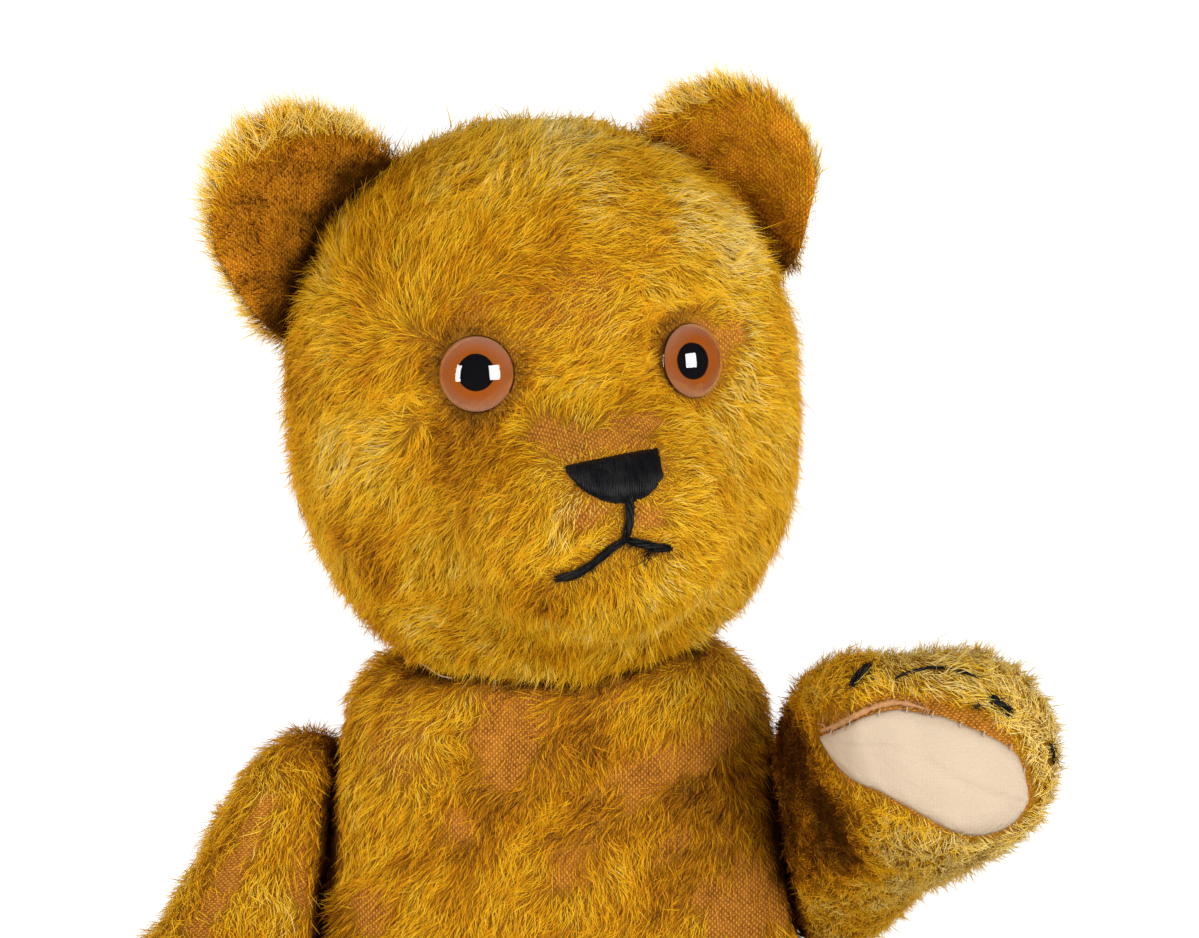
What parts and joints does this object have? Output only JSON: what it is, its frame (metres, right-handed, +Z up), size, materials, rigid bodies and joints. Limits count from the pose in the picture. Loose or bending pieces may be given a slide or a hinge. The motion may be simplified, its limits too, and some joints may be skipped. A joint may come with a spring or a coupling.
{
  "type": "teddy bear",
  "caption": "Seated jointed plush teddy bear with worn golden mohair, glass eyes, stitched nose and mouth, cotton paw pads and disc joints at neck, shoulders and hips.",
  "frame": {"origin": "middle of the torso's flat underside, which the bear sits on", "axes": "+Z up, -Y the way the bear faces, +X to the bear's own left"},
  "size_m": [0.2699, 0.2031, 0.3513],
  "materials": {
    "mohair": "worn golden mohair pile on woven cotton backing",
    "ear_mohair": "thin worn mohair, nearly bare weave inside the ears",
    "stuffing": "packed wood wool",
    "hardboard": "pressed hardboard",
    "steel": "plain steel wire and washers",
    "eye_glass": "clear glass over a painted brown iris and black pupil",
    "black_thread": "black embroidery thread",
    "pad_cotton": "plain off-white cotton"
  },
  "bodies": {
    "torso": {"torso_cover": "mohair", "torso_stuffing": "stuffing", "neck_disc_inner": "hardboard", "neck_washer_inner": "steel", "shoulder_left_disc_inner": "hardboard", "shoulder_left_washer_inner": "steel", "shoulder_right_disc_inner": "hardboard", "shoulder_right_washer_inner": "steel", "hip_left_disc_inner": "hardboard", "hip_left_washer_inner": "steel", "hip_right_disc_inner": "hardboard", "hip_right_washer_inner": "steel"},
    "head": {"head_cover": "mohair", "head_stuffing": "stuffing", "ear_left": "ear_mohair", "eye_left": "eye_glass", "eye_wire_left": "steel", "ear_right": "ear_mohair", "eye_right": "eye_glass", "eye_wire_right": "steel", "nose_stitching": "black_thread", "mouth_stitch": "black_thread", "philtrum_stitch": "black_thread", "neck_disc_outer": "hardboard", "neck_washer_outer": "steel", "neck_cotter_pin": "steel"},
    "arm_left": {"arm_left_cover": "mohair", "arm_left_stuffing": "stuffing", "paw_pad_left": "pad_cotton", "claw_left_1": "black_thread", "claw_left_2": "black_thread", "claw_left_3": "black_thread", "claw_left_4": "black_thread", "shoulder_left_disc_outer": "hardboard", "shoulder_left_washer_outer": "steel", "shoulder_left_cotter_pin": "steel"},
    "arm_right": {"arm_right_cover": "mohair", "arm_right_stuffing": "stuffing", "paw_pad_right": "pad_cotton", "claw_right_1": "black_thread", "claw_right_2": "black_thread", "claw_right_3": "black_thread", "claw_right_4": "black_thread", "shoulder_right_disc_outer": "hardboard", "shoulder_right_washer_outer": "steel", "shoulder_right_cotter_pin": "steel"},
    "leg_left": {"leg_left_cover": "mohair", "leg_left_stuffing": "stuffing", "foot_pad_left": "pad_cotton", "hip_left_disc_outer": "hardboard", "hip_left_washer_outer": "steel", "hip_left_cotter_pin": "steel"},
    "leg_right": {"leg_right_cover": "mohair", "leg_right_stuffing": "stuffing", "foot_pad_right": "pad_cotton", "hip_right_disc_outer": "hardboard", "hip_right_washer_outer": "steel", "hip_right_cotter_pin": "steel"}
  },
  "joints": [
    {"name": "neck_turn", "type": "hinge", "parent": "torso", "child": "head", "pos_m": [0, 0, 0.2], "axis": [-0.0607, -0.1045, 0.9927], "continuous": true},
    {"name": "shoulder_left_turn", "type": "hinge", "parent": "torso", "child": "arm_left", "pos_m": [0.062, 0, 0.143], "axis": [0.9917, 0, 0.1288], "continuous": true},
    {"name": "shoulder_right_turn", "type": "hinge", "parent": "torso", "child": "arm_right", "pos_m": [-0.062, 0, 0.143], "axis": [0.9917, 0, -0.1288], "continuous": true},
    {"name": "hip_left_turn", "type": "hinge", "parent": "torso", "child": "leg_left", "pos_m": [0.051, -0.002, 0.031], "axis": [0.9925, 0.1219, 0], "range_deg": [-15, 165]},
    {"name": "hip_right_turn", "type": "hinge", "parent": "torso", "child": "leg_right", "pos_m": [-0.051, -0.002, 0.031], "axis": [0.9925, -0.1219, 0], "range_deg": [-15, 165]}
  ]
}
